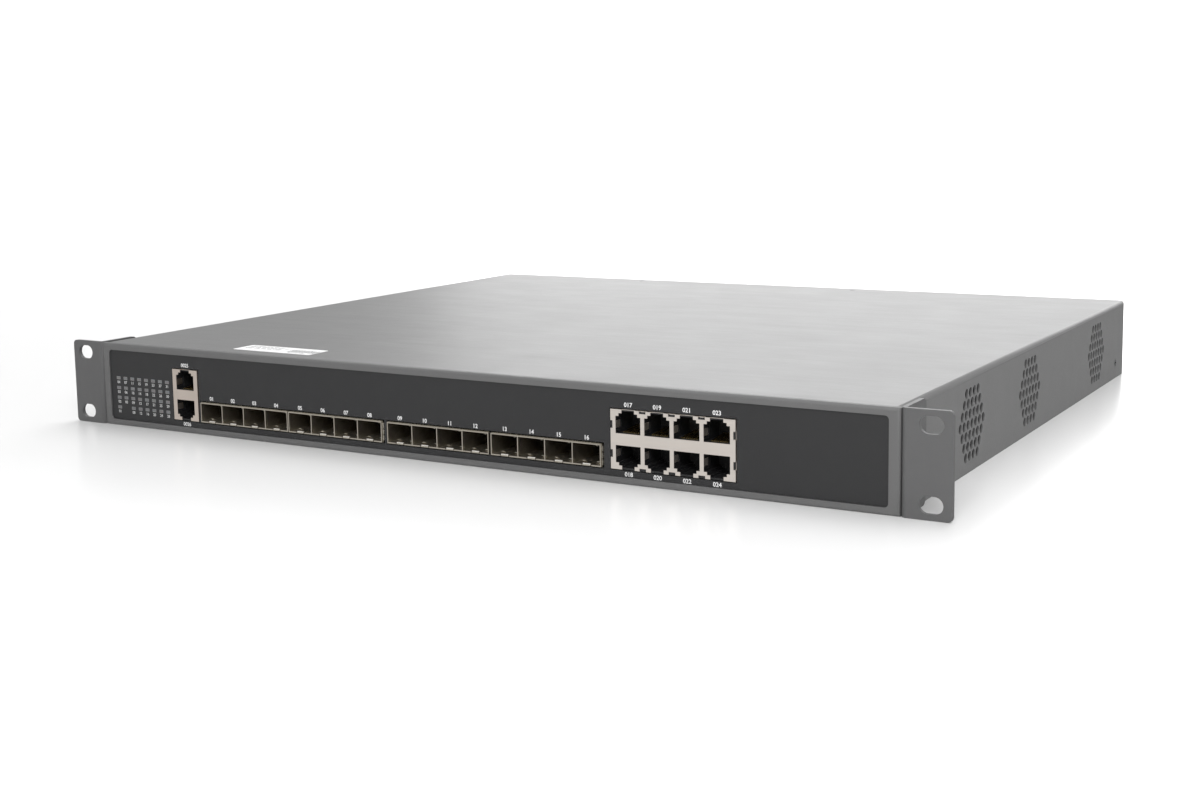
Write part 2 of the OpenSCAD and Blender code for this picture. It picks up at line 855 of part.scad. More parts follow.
// One port chip behind each cage
module port_chips() {
    port_chip_y = 76;
    color(chip_black) placed() for (x0 = cage_xs) {
        chip(x0 + cage_w / 2, port_chip_y, 19, 1.8);
    }
}

// Two rows of two beside the processor
module memory_chips() {
    first = [cpu_spot[0] - 64, cpu_spot[1] - 22];
    step = [18, 24];
    color(chip_black) placed() for (i = [0, 1], j = [0, 1]) {
        translate([first[0] + i * step[0], first[1] + j * step[1], board_top]) cube([12, 18, 1.2]);
    }
}

// Parts of the two voltage converters: one beside the processor, one near the jacks
cpu_supply_spot = [-60, 182];
jack_supply_spot = [115, 100];

module capacitors() {
    color("dimgray") placed() {
        for (i = [0 : 4]) {
            translate([cpu_supply_spot[0] + i * 13, cpu_supply_spot[1], board_top]) cylinder(h = 12, r = 4);
        }
        for (i = [0 : 3]) {
            translate([jack_supply_spot[0] + i * 14, jack_supply_spot[1], board_top])
                cylinder(h = 10, r = 3.2);
        }
    }
}

module inductors() {
    color([0.25, 0.25, 0.27]) placed() {
        for (i = [0 : 3]) {
            translate([cpu_supply_spot[0] - 2 + i * 15, cpu_supply_spot[1] - 24, board_top]) cube([9, 9, 5]);
        }
        for (i = [0 : 2]) {
            translate([jack_supply_spot[0] + 1 + i * 16, jack_supply_spot[1] + 18, board_top])
                cube([8, 8, 4.5]);
        }
    }
}

// Board headers: the fan leads' three, the supply harness's one, and the LED board's one
fan_header_ys = [fan_ys[0] - 24, fan_ys[1] - 24, board_y1 - 22];
header_w = 6;
lead_z = 12;
lead_gap = 0.45;
harness_x = -60;
harness_y0 = 212;

module board_headers() {
    color("ivory") placed() {
        for (y = fan_header_ys) {
            translate([board_x1 - 12, y - header_w / 2, board_top]) cube([8, header_w, 8]);
        }
        translate([harness_x - 14, harness_y0 - 10, board_top]) cube([28, 10, 10]);
        translate([led_x + 8, led_board_y + 1.2, board_top]) cube([20, 4, 6]);
    }
}

module fan_bracket() {
    y0 = fan_ys[0] - 30;
    y1 = fan_ys[2] + 26;
    bx = fan_x0 - bracket_t;
    color(plate_grey) placed() difference() {
        union() {
            translate([bx, y0, tray_t]) cube([bracket_t, y1 - y0, bracket_h]);
            translate([bx - 11, y0, tray_t]) cube([11 + eps, y1 - y0, bracket_t]);
        }
        for (y = fan_ys) {
            translate([bx - past, y, fan_z]) {
                bar_x(bracket_t + 2 * past, fan_bore_r);
                for (sy = [-1, 1], sz = [-1, 1]) {
                    translate([0, sy * fan_hole, sz * fan_hole]) bar_x(bracket_t + 2 * past, m3_hole_r);
                }
            }
            translate([bx - past, y - 24, lead_z]) bar_x(bracket_t + 2 * past, 2.5);
        }
    }
}

// Places children with their +z along -x, at the outer face of fan i
module at_fan(i) {
    translate([fan_x1, fan_ys[i], fan_z]) rotate([0, -90, 0]) children();
}

shaft_r = 1;
stator_r = 8.2;
cup_r = 10.6;

module fan_frame(i) {
    plate_t = 3.6;
    hub_z = 2.4;
    color(plastic_black) placed() at_fan(i) {
        difference() {
            union() {
                for (z = [0, fan_d - plate_t]) {
                    translate([0, 0, z]) linear_extrude(plate_t) rounded_square(fan_size, fan_size, 2.5);
                }
                cylinder(h = fan_d, r = fan_bore_r + 0.8);
            }
            translate([0, 0, -past]) cylinder(h = fan_d + 2 * past, r = fan_bore_r);
            for (sx = [-1, 1], sy = [-1, 1]) {
                translate([sx * fan_hole, sy * fan_hole, -past])
                    cylinder(h = fan_d + 2 * past, r = m3_hole_r);
            }
        }
        difference() {
            union() {
                translate([0, 0, 0.2]) cylinder(h = hub_z, r = cup_r);
                for (a = [0 : 90 : 270]) {
                    rotate([0, 0, a + 25]) translate([8, -1.1, 0.2])
                        cube([fan_bore_r + 0.3 - 8, 2.2, hub_z]);
                }
                translate([0, 0, hub_z]) cylinder(h = 2, r = 3.4);
                translate([0, 0, hub_z + 2 - eps]) cylinder(h = 9, r = stator_r);
            }
            translate([0, 0, 1.2]) cylinder(h = 20, r = shaft_r + 0.05);
        }
    }
}

module fan_rotor(i) {
    cup_z0 = 3.2;
    cup_z1 = fan_d - 1.4;
    roof = 1.2;
    blade_r = 18.1;
    color([0.12, 0.12, 0.13]) placed() at_fan(i) {
        difference() {
            translate([0, 0, cup_z0]) cylinder(h = cup_z1 - cup_z0, r = cup_r);
            translate([0, 0, cup_z0 - past]) cylinder(h = cup_z1 - cup_z0 - roof + past, r = 9.4);
        }
        translate([0, 0, 1.6]) cylinder(h = cup_z1 - roof - 1.6 + eps, r = shaft_r);
        intersection() {
            difference() {
                translate([0, 0, cup_z0 + 0.6]) cylinder(h = cup_z1 - cup_z0 - 1.2, r = blade_r);
                translate([0, 0, cup_z0]) cylinder(h = cup_z1, r = cup_r - 0.4);
            }
            for (b = [0 : fan_blades - 1]) {
                rotate([0, 0, b * 360 / fan_blades]) translate([0, 0, fan_d / 2]) rotate([38, 0, 0])
                    translate([0, -0.6, -14]) cube([blade_r + past, 1.2, 28]);
            }
        }
    }
}

module fan_frame_1() { fan_frame(0); }
module fan_frame_2() { fan_frame(1); }
module fan_frame_3() { fan_frame(2); }
module fan_rotor_1() { fan_rotor(0); }
module fan_rotor_2() { fan_rotor(1); }
module fan_rotor_3() { fan_rotor(2); }

// Two wires run from each fan, through the bracket, to a header on the board
module fan_leads() {
    r = 0.6;
    bend = 2;
    start_x = fan_x0 + 6;
    end_x = board_x1 - 4;
    lane_x = board_x1 + 3;
    color("firebrick") placed() for (i = [0 : 2], k = [-1, 1]) {
        hole_y = fan_ys[i] - 24;
        end_y = fan_header_ys[i];
        z = lead_z + k * 0.75;
        start_y = fan_ys[i] - sqrt(pow(fan_bore_r + 0.8, 2) - pow(z - fan_z, 2)) - lead_gap;
        translate([start_x, hole_y + bend, z]) bar_y(start_y - hole_y - bend, r);
        translate([start_x - bend, hole_y + bend, z]) wire_bend(-90, bend, r);
        if (i < 2) {
            translate([end_x, hole_y, z]) bar_x(start_x - bend - end_x, r);
        } else {
            translate([lane_x + bend, hole_y, z]) bar_x(start_x - lane_x - 2 * bend, r);
            translate([lane_x + bend, hole_y - bend, z]) wire_bend(90, bend, r);
            translate([lane_x, end_y + bend, z]) bar_y(hole_y - end_y - 2 * bend, r);
            translate([lane_x - bend, end_y + bend, z]) wire_bend(-90, bend, r);
            translate([end_x, end_y, z]) bar_x(lane_x - bend - end_x, r);
        }
    }
}

// Bay for the supplies: a floor, three walls and a front sheet, spot-welded along their edges
module power_bay() {
    height = 39;
    wall_z = tray_t + bay_t + seam;
    wall_h = tray_t + height - wall_z;
    wall_xs = [bay_x0, (bay_x0 + bay_x1 - bay_t) / 2, bay_x1 - bay_t];
    wall_ys = [bay_y0 + bay_t + seam, backplane_y + backplane_t + seam, bay_y0 + bay_t + seam];
    color(plate_grey) placed() difference() {
        union() {
            translate([bay_x0, bay_y0, tray_t]) cube([bay_x1 - bay_x0, bay_y1 - bay_y0, bay_t]);
            for (i = [0 : 2]) {
                translate([wall_xs[i], wall_ys[i], wall_z]) cube([bay_t, bay_y1 - wall_ys[i], wall_h]);
            }
            translate([bay_x0, bay_y0, wall_z]) cube([bay_x1 - bay_x0, bay_t, wall_h]);
        }
        for (x = supply_xs, side = [-1, 1]) {
            translate([x + side * 20 - 14, bay_y0 - past, 28]) cube([28, bay_t + 2 * past, 8]);
        }
        translate([harness_x - 15, bay_y0 - past, 9]) cube([30, bay_t + 2 * past, 11]);
        for (x = wall_xs, i = [0 : 2]) {
            translate([x - past, bay_y0 + 14 + i * 44, 10]) cube([bay_t + 2 * past, 30, 20]);
        }
    }
}

socket_w = 36;
socket_z = 6.6;

module power_backplane() {
    t = backplane_t;
    slot_z = socket_z - 0.15;
    color([0.06, 0.2, 0.34]) placed() {
        translate([bay_x0 + 1.5, backplane_y, tray_t + bay_t]) cube([bay_x1 - bay_x0 - 3, t, 35]);
        for (x = supply_xs) {
            translate([x - 4, backplane_y + t, 0]) difference() {
                translate([-socket_w / 2, 0, 3]) cube([socket_w, 8, 9]);
                translate([-socket_w / 2 + 1.5, 2, slot_z]) cube([socket_w - 3, 8, 1.9]);
            }
        }
        translate([harness_x - 14, bay_y0 - 3, 9.5]) cube([28, backplane_y - bay_y0 + 3, 10]);
    }
}

module power_harness() {
    wires = 6;
    length = bay_y0 - 3 - harness_y0;
    color("goldenrod") placed() for (i = [0 : wires - 1], z = [11.6, 14.6]) {
        translate([harness_x + 4 * (i - (wires - 1) / 2), harness_y0, z]) bar_y(length, 0.9);
    }
}

module supply_case(i) {
    x = supply_xs[i];
    left = x - case_left;
    inner_w = case_w - 2 * case_t;
    vent_r = 1.5;
    color(plate_grey) placed() difference() {
        union() {
            translate([left, case_y, case_z]) cube([case_w, supply_d + eps, case_h]);
            translate([x - face_w / 2, face_y, face_z]) cube([face_w, face_t, face_h]);
        }
        translate([left + case_t, case_y - past, case_z + case_t])
            cube([inner_w, supply_d + past, case_h - 2 * case_t]);
        translate([x - inlet_left + 2, face_y - past, mid_z - 12])
            cube([inlet_w - 4, face_t + 2 * past, 24]);
        for (s = [-1, 1]) {
            translate([x + handle_dx, face_y - past, mid_z + s * handle_half])
                bar_y(face_t + 2 * past, handle_r + 0.05);
        }
        translate([x + thumb_dx, face_y - past, mid_z]) bar_y(face_t + 2 * past, m3_r + 0.06);
        for (col = [0 : 2], row = [-3 : 3]) {
            translate([x - 29.6 + col * 4.2, face_y - past, mid_z + row * 4.2])
                bar_y(face_t + 2 * past, vent_r);
        }
        for (row = [0 : 7]) {
            translate([left + 14, case_y + 14 + row * 8, case_z + case_h - 2]) cube([case_w - 28, 4, 4]);
        }
    }
}

// Soldered board with its card edge, transformer, capacitors, coils and two heat spreaders
module supply_board(i) {
    x = supply_xs[i] - 4;
    z = socket_z;
    t = 1.6;
    y0 = case_y + 3;
    length = 104;
    color(board_green) placed() {
        translate([x - 33, y0, z]) cube([66, length, t]);
        translate([x - 15, backplane_y + 4.2, z]) cube([30, y0 - backplane_y - 4.2 + eps, t]);
        translate([x - 14, y0 + 38, z + t]) cube([30, 24, 20]);
        for (k = [0, 1]) {
            translate([x - 20 + 22 * k, y0 + 82, z + t]) cylinder(h = 24, r = 8.5);
        }
        translate([x + 18, y0 + 68, z + t]) cube([12, 26, 16]);
        for (s = [-1, 1]) {
            translate([x + s * 25 - 1, y0 + 8, z + t]) cube([2, 52, 22]);
        }
        for (k = [0 : 3]) {
            translate([x - 15 + 10 * k, y0 + 18, z + t]) cylinder(h = 16, r = 4);
        }
        for (sx = [-1, 1], y = [y0 + 6, y0 + length - 6]) {
            translate([x + sx * 29, y, case_z + case_t]) cylinder(h = z - case_z - case_t, r = 2.4);
        }
    }
}

// One moulding: a mains inlet on the left and the rocker's housing on the right
module supply_inlet(i) {
    x = supply_xs[i];
    body_depth = 19;
    socket_dx = -0.5;
    color(plastic_black) placed() {
        difference() {
            union() {
                translate([x - inlet_left + inlet_w / 2, inlet_y + inlet_lip, mid_z]) rotate([90, 0, 0])
                    linear_extrude(inlet_lip) rounded_square(inlet_w, inlet_h, 2);
                translate([x - inlet_left + 2.2, inlet_y - body_depth, mid_z - 11.8])
                    cube([inlet_w - 4.4, body_depth + eps, 23.6]);
            }
            translate([x + socket_dx, inlet_y + inlet_lip + past, mid_z]) rotate([90, 0, 0])
                linear_extrude(16 + past) polygon([
                    [-12, -8.2], [12, -8.2], [12, 4.2], [8, 8.2], [-8, 8.2], [-12, 4.2]
                ]);
            translate([x + rocker_dx - rocker_cavity_w / 2, rocker_y, mid_z])
                bar_x(rocker_cavity_w, rocker_cavity_r);
            translate([x + rocker_dx - rocker_cavity_w / 2 - 1, rocker_y, mid_z])
                bar_x(rocker_cavity_w + 2, 1.26);
        }
        for (k = [-1, 0, 1]) {
            pin_z = mid_z + (k == 0 ? 0 : -4);
            translate([x + socket_dx + 7 * k - 1, inlet_y + inlet_lip - 16 - eps, pin_z]) cube([2, 10, 4]);
        }
        for (k = [-1, 0, 1]) {
            translate([x + socket_dx + 7 * k - 3, inlet_y - body_depth - 6, mid_z - 1])
                cube([6, 6 + eps, 0.8]);
        }
    }
}

// Rocker with its two pivot pins, drawn tilted to its off side
module rocker(i) {
    crest = 4.4;
    low = -4;
    half = 11;
    lift = half * tan(rocker_tilt);
    color([0.09, 0.09, 0.1]) placed() translate([supply_xs[i] + rocker_dx, rocker_y, mid_z]) {
        rotate([-rocker_tilt, 0, 0]) intersection() {
            translate([-rocker_w / 2, 0, 0]) bar_x(rocker_w, rocker_r);
            translate([-rocker_w / 2 - past, 0, 0]) rotate([90, 0, 90]) linear_extrude(rocker_w + 2 * past)
                polygon([[low, -half], [low, half], [crest + lift, half], [crest, 0], [crest + lift, -half]]);
        }
        translate([-rocker_w / 2 - 0.9, 0, 0]) bar_x(rocker_w + 1.8, 1.2);
    }
}

// Bent rod handle that stands out of a supply's faceplate
module supply_handle(i) {
    bend = 5;
    leg = handle_out + face_t - bend - handle_r + 0.8;
    y0 = face_y - 0.8;
    color(steel_bright) placed() translate([supply_xs[i] + handle_dx, y0, mid_z]) {
        for (s = [-1, 1]) {
            translate([0, 0, s * handle_half]) bar_y(leg, handle_r);
        }
        translate([0, leg, handle_half - bend]) handle_bend(bend);
        mirror([0, 0, 1]) translate([0, leg, handle_half - bend]) handle_bend(bend);
        translate([0, leg + bend, -handle_half + bend]) cylinder(h = 2 * (handle_half - bend), r = handle_r);
    }
}

// Quarter bend from +z into +y
module handle_bend(bend) {
    rotate([90, 0, 90]) rotate_extrude(angle = 90) translate([bend, 0]) circle(r = handle_r, $fn = 32);
}

module thumbscrew(i) {
    head_y = inlet_y + 0.3;
    head_d = 8;
    flutes = 12;
    color(steel_bright) placed() translate([supply_xs[i] + thumb_dx, head_y, mid_z]) rotate([-90, 0, 0]) {
        difference() {
            union() {
                cylinder(h = head_d - 0.6, r = thumb_r);
                translate([0, 0, head_d - 0.6]) cylinder(h = 0.6, r1 = thumb_r, r2 = thumb_r - 0.6);
                translate([0, 0, -6]) cylinder(h = 6 + eps, r = m3_r);
            }
            for (f = [0 : flutes - 1]) {
                rotate([0, 0, f * 360 / flutes]) translate([thumb_r - 0.3, -0.3, 1]) cube([past, 0.6, 5.5]);
            }
            translate([-thumb_r - past, -0.5, head_d - 1]) cube([2 * (thumb_r + past), 1, 1 + past]);
        }
    }
}

module supply_case_1() { supply_case(0); }
module supply_case_2() { supply_case(1); }
module supply_board_1() { supply_board(0); }
module supply_board_2() { supply_board(1); }
module supply_inlet_1() { supply_inlet(0); }
module supply_inlet_2() { supply_inlet(1); }
module rocker_1() { rocker(0); }
module rocker_2() { rocker(1); }
module supply_handle_1() { supply_handle(0); }
module supply_handle_2() { supply_handle(1); }
module thumbscrew_1() { thumbscrew(0); }
module thumbscrew_2() { thumbscrew(1); }

module ground_screw() {
    color(gold) placed() translate([ground_x, tray_y1, ground_z]) rotate([-90, 0, 0]) {
        cylinder(h = 0.8, r = 5);
        translate([0, 0, 0.8 - eps]) cylinder(h = 2.8, r = 4, $fn = 6);
        translate([0, 0, -7]) cylinder(h = 7 + eps, r = ground_r);
    }
}

chassis_base();
front_panel();
top_cover();
front_bezel();
front_overlay();
light_pipes();
ear_left();
ear_right();
case_screws();
top_label();
main_board();
standoffs();
pan_screws();
sfp_cage_1();
sfp_cage_2();
sfp_cage_3();
sfp_cage_4();
cage_springs();
sfp_connectors();
rj45_shield();
rj45_housing();
console_shield();
console_housing();
jack_inserts();
jack_contacts();
led_board();
status_leds();
switch_chip();
switch_heatsink();
cpu_chip();
cpu_heatsink();
port_chips();
memory_chips();
capacitors();
inductors();
board_headers();
fan_bracket();
fan_frame_1();
fan_frame_2();
fan_frame_3();
fan_rotor_1();
fan_rotor_2();
fan_rotor_3();
fan_leads();
power_bay();
power_backplane();
power_harness();
supply_case_1();
supply_case_2();
supply_board_1();
supply_board_2();
supply_inlet_1();
supply_inlet_2();
rocker_1();
rocker_2();
supply_handle_1();
supply_handle_2();
thumbscrew_1();
thumbscrew_2();
ground_screw();
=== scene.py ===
"""A rackmount network switch in a plain studio: materials, printed marks and small parts on the CAD frame."""
import json
import math

import bmesh
import bpy
from mathutils import Matrix, Vector


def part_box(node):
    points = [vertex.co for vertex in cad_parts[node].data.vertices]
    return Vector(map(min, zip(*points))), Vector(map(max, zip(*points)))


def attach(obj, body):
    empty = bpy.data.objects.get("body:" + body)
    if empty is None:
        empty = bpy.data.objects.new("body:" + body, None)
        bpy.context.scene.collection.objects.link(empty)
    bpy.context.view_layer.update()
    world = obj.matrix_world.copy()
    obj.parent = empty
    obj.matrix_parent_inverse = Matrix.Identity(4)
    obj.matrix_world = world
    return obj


MM = 0.001
WHITE = (1.0, 1.0, 1.0, 1.0)
DUST = (0.45, 0.44, 0.42)
SOLDER = (0.62, 0.58, 0.46)
BRASS = (0.75, 0.55, 0.24)

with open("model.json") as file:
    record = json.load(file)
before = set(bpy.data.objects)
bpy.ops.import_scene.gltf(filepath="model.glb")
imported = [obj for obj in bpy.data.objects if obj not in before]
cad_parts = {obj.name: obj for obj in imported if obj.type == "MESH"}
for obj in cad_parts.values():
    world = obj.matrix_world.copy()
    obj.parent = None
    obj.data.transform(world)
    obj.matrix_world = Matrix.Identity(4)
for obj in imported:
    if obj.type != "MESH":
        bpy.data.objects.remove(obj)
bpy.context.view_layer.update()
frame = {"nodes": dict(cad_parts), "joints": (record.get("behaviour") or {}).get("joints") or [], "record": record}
nodes = frame["nodes"]
collection = bpy.context.scene.collection

# Faces that other places are measured from
front_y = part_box("front_bezel")[0].y
print_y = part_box("front_overlay")[0].y


# ---------------------------------------------------------------- materials

class Look:
    """A procedural material on a Principled shader, in the mesh's own coordinates in metres."""

    def __init__(self, name, metallic=0.0, specular=0.5):
        self.material = bpy.data.materials.new(name)
        self.material.use_nodes = True
        self.tree = self.material.node_tree
        self.shader = self.tree.nodes["Principled BSDF"]
        self.shader.inputs["Metallic"].default_value = metallic
        self.shader.inputs["Specular IOR Level"].default_value = specular
        self.coordinates = self.node("ShaderNodeTexCoord").outputs["Object"]

    def node(self, kind, **settings):
        made = self.tree.nodes.new(kind)
        for key, value in settings.items():
            setattr(made, key, value)
        return made

    def link(self, source, target):
        self.tree.links.new(source, target)

    def stretched(self, stretch):
        """Coordinates multiplied along each axis; grain runs along the axis with the smallest factor."""
        mapping = self.node("ShaderNodeMapping")
        mapping.inputs["Scale"].default_value = stretch
        self.link(self.coordinates, mapping.inputs["Vector"])
        return mapping.outputs["Vector"]

    def noise(self, size, detail=2.0, stretch=None, roughness=0.5):
        """Noise from 0 to 1 whose features are about size metres."""
        made = self.node("ShaderNodeTexNoise")
        made.inputs["Scale"].default_value = 1.0 / size
        made.inputs["Detail"].default_value = detail
        made.inputs["Roughness"].default_value = roughness
        self.link(self.stretched(stretch) if stretch else self.coordinates, made.inputs["Vector"])
        return made.outputs["Fac"]

    def cells(self, size, feature="F1"):
        """A Voronoi node whose cells are about size metres."""
        made = self.node("ShaderNodeTexVoronoi", feature=feature)
        made.inputs["Scale"].default_value = 1.0 / size
        self.link(self.coordinates, made.inputs["Vector"])
        return made

    def remap(self, value, low, high, start=0.3, end=0.7):
        """Value between start and end, mapped to low and high."""
        made = self.node("ShaderNodeMapRange")
        made.inputs["From Min"].default_value = start
        made.inputs["From Max"].default_value = end
        made.inputs["To Min"].default_value = low
        made.inputs["To Max"].default_value = high
        self.link(value, made.inputs["Value"])
        return made.outputs["Result"]

    def math(self, operation, a, b):
        """One arithmetic step on two values, each a socket or a number."""
        made = self.node("ShaderNodeMath", operation=operation)
        for socket, value in zip(made.inputs, (a, b)):
            if isinstance(value, (int, float)):
                socket.default_value = value
            else:
                self.link(value, socket)
        return made.outputs["Value"]

    def mix(self, factor, a, b):
        """Colour a where factor is 0 and b where it is 1; each is a socket or a colour."""
        made = self.node("ShaderNodeMix", data_type="RGBA")
        colour_a, colour_b, colour_out = made.inputs[6], made.inputs[7], made.outputs[2]
        self.link(factor, made.inputs["Factor"])
        for socket, value in ((colour_a, a), (colour_b, b)):
            if isinstance(value, tuple):
                socket.default_value = (*value, 1.0)
            else:
                self.link(value, socket)
        return colour_out

    def colour(self, value):
        self.link(value, self.shader.inputs["Base Color"])

    def roughness(self, value):
        if isinstance(value, (int, float)):
            self.shader.inputs["Roughness"].default_value = value
        else:
            self.link(value, self.shader.inputs["Roughness"])

    def bump(self, height, distance, strength, below=None):
        """Relief on the surface, over the relief of another bump where one is given."""
        made = self.node("ShaderNodeBump")
        made.inputs["Distance"].default_value = distance
        made.inputs["Strength"].default_value = strength
        self.link(height, made.inputs["Height"])
        if below:
            self.link(below, made.inputs["Normal"])
        self.link(made.outputs["Normal"], self.shader.inputs["Normal"])
        return made.outputs["Normal"]


def shade(colour, factor):
    """A colour made lighter or darker."""
    return tuple(min(1.0, channel * factor) for channel in colour)


def powder_coat(name, colour, roughness=0.5):
    """Satin powder coat: orange peel, fine speckle, slow tone drift and a few rubbed patches."""
    look = Look(name, specular=0.5)
    speckle = look.remap(look.noise(0.35 * MM, 3), 0, 1)
    drift = look.remap(look.noise(70 * MM, 3), 0, 1)
    rubbed = look.remap(look.noise(28 * MM, 6, roughness=0.7), 0, 1, 0.52, 0.72)
    fine = look.mix(speckle, shade(colour, 0.93), shade(colour, 1.07))
    drifted = look.mix(look.math("MULTIPLY", drift, 0.5), fine, shade(colour, 0.95))
    look.colour(look.mix(look.math("MULTIPLY", rubbed, 0.25), drifted, shade(colour, 1.1)))
    look.roughness(look.remap(look.noise(9 * MM, 5, roughness=0.65), roughness - 0.05, roughness + 0.07))
    ripple = look.bump(look.noise(1.1 * MM, 2), 0.035 * MM, 0.8)
    look.bump(look.noise(0.28 * MM, 2), 0.012 * MM, 0.6, below=ripple)
    return look.material


def brushed_coat(name, colour, roughness=0.44):
    """The cover's paint: powder coat over sheet whose rolling lines run across the case."""
    look = Look(name, specular=0.5)
    lines = look.noise(1.2 * MM, 4, stretch=(0.012, 1.0, 1.0), roughness=0.6)
    speckle = look.remap(look.noise(0.35 * MM, 3), 0, 1)
    drift = look.remap(look.noise(110 * MM, 3), 0, 1)
    fine = look.mix(speckle, shade(colour, 0.94), shade(colour, 1.06))
    lined = look.mix(look.remap(lines, 0, 0.2), fine, shade(colour, 1.1))
    look.colour(look.mix(look.math("MULTIPLY", drift, 0.4), lined, shade(colour, 0.95)))
    smear = look.remap(look.noise(16 * MM, 5, stretch=(0.5, 1.0, 1.0), roughness=0.65), -0.015, 0.025)
    look.roughness(look.math("ADD", look.remap(lines, roughness - 0.015, roughness + 0.025), smear))
    ripple = look.bump(look.noise(1.1 * MM, 2), 0.04 * MM, 0.9)
    rolled = look.bump(lines, 0.005 * MM, 0.5, below=ripple)
    look.bump(look.noise(0.28 * MM, 2), 0.014 * MM, 0.7, below=rolled)
    return look.material


def film(name, colour):
    """Matt printed film with a fine emboss."""
    look = Look(name, specular=0.3)
    speckle = look.remap(look.noise(0.25 * MM, 2), 0, 1)
    cloud = look.remap(look.noise(45 * MM, 4), 0, 1)
    fine = look.mix(speckle, shade(colour, 0.9), shade(colour, 1.12))
    look.colour(look.mix(look.math("MULTIPLY", cloud, 0.4), fine, shade(colour, 1.12)))
    look.roughness(look.remap(look.noise(12 * MM, 5), 0.42, 0.52))
    look.bump(look.noise(0.22 * MM, 2), 0.02 * MM, 0.7)
    return look.material


def plated(name, colour, roughness=0.28, grain=(1.0, 1.0, 0.03), tarnish=0.3):
    """Plated sheet or wire: lines along the axis with grain's smallest factor, faint tarnish, scratches."""
    look = Look(name, metallic=1.0)
    lines = look.noise(0.5 * MM, 4, stretch=grain, roughness=0.65)
    cloud = look.remap(look.noise(6 * MM, 5, roughness=0.6), 0, 1)
    scratch = look.remap(look.noise(0.9 * MM, 3, stretch=(grain[2], grain[1], grain[0])), 0, 1, 0.62, 0.7)
    toned = look.mix(look.math("MULTIPLY", cloud, tarnish), colour, shade(colour, 0.7))
    look.colour(look.mix(look.math("MULTIPLY", scratch, 0.2), toned, shade(colour, 1.2)))
    look.roughness(look.remap(lines, roughness - 0.07, roughness + 0.12))
    look.bump(lines, 0.01 * MM, 0.7)
    return look.material


def zinc_sheet(name, colour, roughness=0.42):
    """Zinc-coated sheet with faint spangle."""
    look = Look(name, metallic=1.0)
    spangle = look.cells(4 * MM)
    tone = look.node("ShaderNodeSeparateColor")
    look.link(spangle.outputs["Color"], tone.inputs["Color"])
    patch = tone.outputs["Red"]
    toned = look.mix(patch, shade(colour, 0.92), shade(colour, 1.06))
    look.colour(look.mix(look.remap(look.noise(20 * MM, 4), 0, 0.4), toned, shade(colour, 0.85)))
    look.roughness(look.remap(patch, roughness - 0.04, roughness + 0.08, 0.0, 1.0))
    look.bump(look.noise(0.6 * MM, 3), 0.01 * MM, 0.5)
    return look.material


def moulding(name, colour, roughness=0.5, grain=0.3 * MM):
    """Moulded plastic with a spark-eroded grain, flow marks and a little dust."""
    look = Look(name)
    flow = look.remap(look.noise(14 * MM, 4, roughness=0.6), 0, 1)
    dust = look.remap(look.noise(1.5 * MM, 5, roughness=0.7), 0, 1, 0.56, 0.75)
    toned = look.mix(look.math("MULTIPLY", flow, 0.6), colour, shade(colour, 1.25))
    look.colour(look.mix(look.math("MULTIPLY", dust, 0.12), toned, DUST))
    look.roughness(look.remap(look.noise(5 * MM, 4), roughness - 0.08, roughness + 0.08))
    look.bump(look.noise(grain, 2), 0.02 * MM, 0.6)
    return look.material


def solder_mask(name, colour):
    """Board: glossy mask over copper tracks and pads."""
    look = Look(name, specular=0.6)
    tracks = look.cells(2.2 * MM, feature="DISTANCE_TO_EDGE").outputs["Distance"]
    track = look.remap(tracks, 1, 0, 0.02, 0.08)
    pads = look.remap(look.cells(3.1 * MM).outputs["Distance"], 1, 0, 0.12, 0.16)
    board = look.mix(look.math("MULTIPLY", track, 0.6), colour, shade(colour, 1.7))
    look.colour(look.mix(look.math("MULTIPLY", pads, 0.7), board, SOLDER))
    look.roughness(look.remap(look.noise(4 * MM, 3), 0.22, 0.36))
    look.bump(track, 0.03 * MM, 0.6)
    return look.material


def paper(name, colour):
    """Sticker stock with fine fibres."""
    look = Look(name, specular=0.35)
    fibre = look.remap(look.noise(0.4 * MM, 4, stretch=(0.3, 1.0, 1.0)), 0, 1)
    look.colour(look.mix(fibre, shade(colour, 0.96), colour))
    look.roughness(look.remap(look.noise(6 * MM, 3), 0.45, 0.6))
    look.bump(fibre, 0.01 * MM, 0.5)
    return look.material


def ink(name, colour):
    """Screen-printed ink that covers a little unevenly."""
    look = Look(name, specular=0.4)
    cover = look.remap(look.noise(0.2 * MM, 3), 0, 1)
    look.colour(look.mix(cover, shade(colour, 0.86), colour))
    look.roughness(look.remap(look.noise(1 * MM, 2), 0.45, 0.58))
    return look.material


def milky(name, colour):
    """Light pipes and diodes: milky plastic with a polished face."""
    look = Look(name, specular=0.6)
    look.colour(look.mix(look.remap(look.noise(1.5 * MM, 3), 0, 1), shade(colour, 0.9), colour))
    look.roughness(look.remap(look.noise(0.8 * MM, 2), 0.18, 0.3))
    look.shader.inputs["Subsurface Weight"].default_value = 0.25
    look.shader.inputs["Subsurface Scale"].default_value = 0.6 * MM
    look.bump(look.noise(0.5 * MM, 2), 0.01 * MM, 0.4)
    return look.material


def rubbery(name, colour):
    """Soft insulation on leads and wires."""
    look = Look(name, specular=0.4)
    look.colour(look.mix(look.remap(look.noise(2 * MM, 4), 0, 1), shade(colour, 0.85), shade(colour, 1.1)))
    look.roughness(look.remap(look.noise(1 * MM, 3), 0.45, 0.62))
    look.bump(look.noise(0.4 * MM, 2), 0.02 * MM, 0.6)
    return look.material


